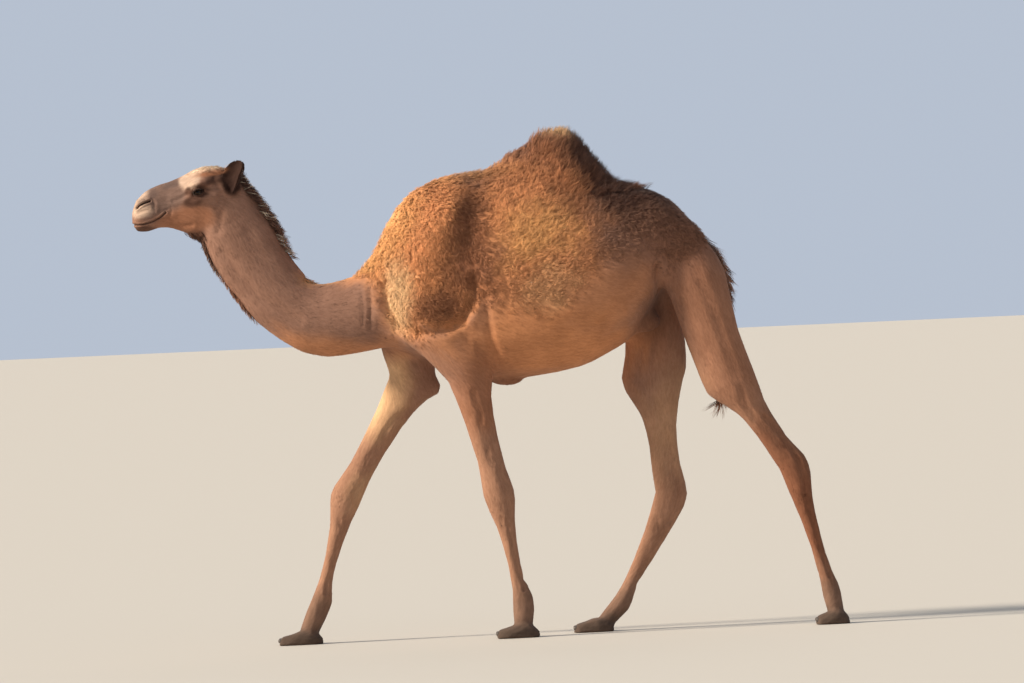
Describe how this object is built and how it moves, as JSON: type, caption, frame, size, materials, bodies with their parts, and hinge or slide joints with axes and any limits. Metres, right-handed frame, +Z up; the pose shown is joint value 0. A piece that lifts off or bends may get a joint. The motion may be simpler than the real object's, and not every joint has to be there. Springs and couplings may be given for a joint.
{
  "type": "camel",
  "caption": "Life-size dromedary camel in a slow pace, as a still model: woolly shoulders, back and hump, smooth legs and face, resting on the flat soles of its feet.",
  "frame": {"origin": "on the floor, under the middle of the model's bounding box", "axes": "+X from head to tail, so the camel faces -X; +Y towards its right side; +Z up"},
  "size_m": [2.8548, 0.5723, 2.0794],
  "materials": {
    "pale_coat": "short pale beige hair",
    "tan_coat": "short tan hair",
    "brown_wool": "curled orange-brown wool",
    "dark_wool": "long dark brown wool",
    "foot_skin": "rough dark skin under short hair",
    "nail": "dull dark horn",
    "eye": "wet dark brown"
  },
  "bodies": {
    "root": {"head": "pale_coat", "neck_upper": "tan_coat", "neck_lower": "tan_coat", "shoulders": "brown_wool", "barrel": "tan_coat", "hump": "dark_wool", "rump": "dark_wool", "tail": "dark_wool", "chest_pad": "foot_skin", "ear_left": "dark_wool", "ear_right": "dark_wool", "eye_left": "eye", "eye_right": "eye", "foreleg_left_forearm": "tan_coat", "foreleg_left_cannon": "tan_coat", "foreleg_left_foot": "foot_skin", "foreleg_right_forearm": "tan_coat", "foreleg_right_cannon": "tan_coat", "foreleg_right_foot": "foot_skin", "hindleg_left_thigh": "tan_coat", "hindleg_left_gaskin": "tan_coat", "hindleg_left_cannon": "tan_coat", "hindleg_left_foot": "foot_skin", "hindleg_right_thigh": "tan_coat", "hindleg_right_gaskin": "tan_coat", "hindleg_right_cannon": "tan_coat", "hindleg_right_foot": "foot_skin", "nail_fore_left_left": "nail", "nail_fore_left_right": "nail", "nail_fore_right_left": "nail", "nail_fore_right_right": "nail", "nail_hind_left_left": "nail", "nail_hind_left_right": "nail", "nail_hind_right_left": "nail", "nail_hind_right_right": "nail"}
  },
  "joints": []
}
